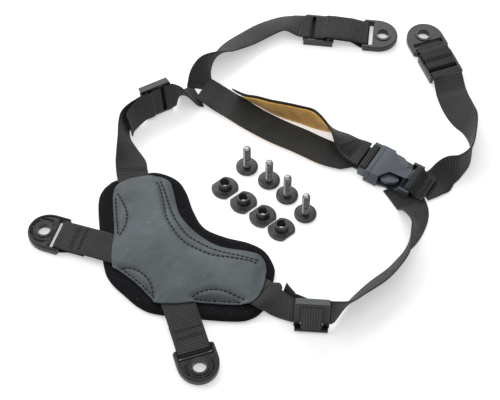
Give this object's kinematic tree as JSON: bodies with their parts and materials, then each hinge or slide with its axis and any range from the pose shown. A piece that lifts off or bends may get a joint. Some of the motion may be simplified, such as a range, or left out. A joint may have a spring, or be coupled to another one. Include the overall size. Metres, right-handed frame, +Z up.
{
  "type": "helmet retention harness",
  "caption": "Webbing chin strap and nape pad harness for a helmet, with slide adjusters, anchor loops, a side-release buckle and its loose screws and post nuts.",
  "frame": {"origin": "centre of the part's footprint, on the surface it lies on", "axes": "+Z up out of the surface the harness is laid on, +X towards the chin-buckle side, +Y towards the front anchors; the pad is at -X -Y"},
  "size_m": [0.2808, 0.2812, 0.0244],
  "materials": {
    "black_webbing": "woven, matt",
    "tan_suede": "napped suede",
    "dark_felt": "felt, matt",
    "grey_foam": "open-cell foam, hidden",
    "slate_cloth": "brushed cloth, matt",
    "black_plastic": "moulded, satin",
    "black_steel": "black oxide"
  },
  "bodies": {
    "harness": {"nape_pad_base": "dark_felt", "nape_pad_foam": "grey_foam", "nape_pad_cover": "slate_cloth", "anchor_strap_left": "black_webbing", "anchor_strap_bottom": "black_webbing", "rear_leg_left": "black_webbing", "rear_leg_right": "black_webbing", "slider_tail_left": "black_webbing", "slider_tail_right": "black_webbing", "front_strap_left": "black_webbing", "chin_band_front": "black_webbing", "chin_band_rear": "black_webbing", "chin_lining_front": "tan_suede", "chin_lining_rear": "tan_suede", "buckle_male": "black_plastic", "slider_front_left": "black_plastic", "slider_nape_left": "black_plastic", "slider_nape_right": "black_plastic"},
    "buckle_side": {"buckle_female": "black_plastic", "buckle_loop": "black_webbing", "front_strap_right": "black_webbing", "slider_front_right": "black_plastic"},
    "upper_prong": {"prong_upper": "black_plastic"},
    "lower_prong": {"prong_lower": "black_plastic"},
    "anchor_rear_left_body": {"anchor_rear_left": "black_plastic"},
    "anchor_rear_bottom_body": {"anchor_rear_bottom": "black_plastic"},
    "anchor_front_left_body": {"anchor_front_left": "black_plastic"},
    "anchor_front_right_body": {"anchor_front_right": "black_plastic"},
    "screw_1_body": {"screw_1": "black_steel"},
    "screw_2_body": {"screw_2": "black_steel"},
    "screw_3_body": {"screw_3": "black_steel"},
    "screw_4_body": {"screw_4": "black_steel"},
    "nut_1_body": {"nut_1": "black_steel"},
    "nut_2_body": {"nut_2": "black_steel"},
    "nut_3_body": {"nut_3": "black_steel"},
    "nut_4_body": {"nut_4": "black_steel"}
  },
  "joints": [
    {"name": "buckle_release", "type": "slide", "parent": "harness", "child": "buckle_side", "axis": [0.848, -0.5299, 0], "range_m": [0, 0.022], "deforming": ["prong_upper", "prong_lower", "rear_leg_right"]},
    {"name": "upper_prong_squeeze", "type": "hinge", "parent": "harness", "child": "upper_prong", "pos_m": [0.07929, 0.01781, 0.0053], "axis": [0, 0, -1], "range_deg": [0, 12.5], "stiffness_Nm_per_rad": 0.15},
    {"name": "lower_prong_squeeze", "type": "hinge", "parent": "harness", "child": "lower_prong", "pos_m": [0.07377, 0.00899, 0.0053], "axis": [0, 0, 1], "range_deg": [0, 12.5], "stiffness_Nm_per_rad": 0.15},
    {"name": "anchor_rear_left_lift", "type": "hinge", "parent": "harness", "child": "anchor_rear_left_body", "pos_m": [-0.11897, -0.0409, 0.003], "axis": [0.3156, 0.9489, 0], "range_deg": [0, 70]},
    {"name": "anchor_rear_bottom_lift", "type": "hinge", "parent": "harness", "child": "anchor_rear_bottom_body", "pos_m": [-0.03707, -0.1192, 0.003], "axis": [-0.9511, -0.309, 0], "range_deg": [0, 70]},
    {"name": "anchor_front_left_lift", "type": "hinge", "parent": "harness", "child": "anchor_front_left_body", "pos_m": [0.07353, 0.1224, 0.003], "axis": [-0.1219, -0.9925, 0], "range_deg": [0, 70]},
    {"name": "anchor_front_right_lift", "type": "hinge", "parent": "buckle_side", "child": "anchor_front_right_body", "pos_m": [0.11713, 0.1095, 0.003], "axis": [0.9397, 0.342, 0], "range_deg": [0, 70]},
    {"name": "screw_1_lift_off", "type": "slide", "parent": "harness", "child": "screw_1_body", "axis": [0, 0, 1], "range_m": [0, 0.03]},
    {"name": "screw_2_lift_off", "type": "slide", "parent": "harness", "child": "screw_2_body", "axis": [0, 0, 1], "range_m": [0, 0.03]},
    {"name": "screw_3_lift_off", "type": "slide", "parent": "harness", "child": "screw_3_body", "axis": [0, 0, 1], "range_m": [0, 0.03]},
    {"name": "screw_4_lift_off", "type": "slide", "parent": "harness", "child": "screw_4_body", "axis": [0, 0, 1], "range_m": [0, 0.03]},
    {"name": "nut_1_lift_off", "type": "slide", "parent": "harness", "child": "nut_1_body", "axis": [0, 0, 1], "range_m": [0, 0.03]},
    {"name": "nut_2_lift_off", "type": "slide", "parent": "harness", "child": "nut_2_body", "axis": [0, 0, 1], "range_m": [0, 0.03]},
    {"name": "nut_3_lift_off", "type": "slide", "parent": "harness", "child": "nut_3_body", "axis": [0, 0, 1], "range_m": [0, 0.03]},
    {"name": "nut_4_lift_off", "type": "slide", "parent": "harness", "child": "nut_4_body", "axis": [0, 0, 1], "range_m": [0, 0.03]}
  ]
}
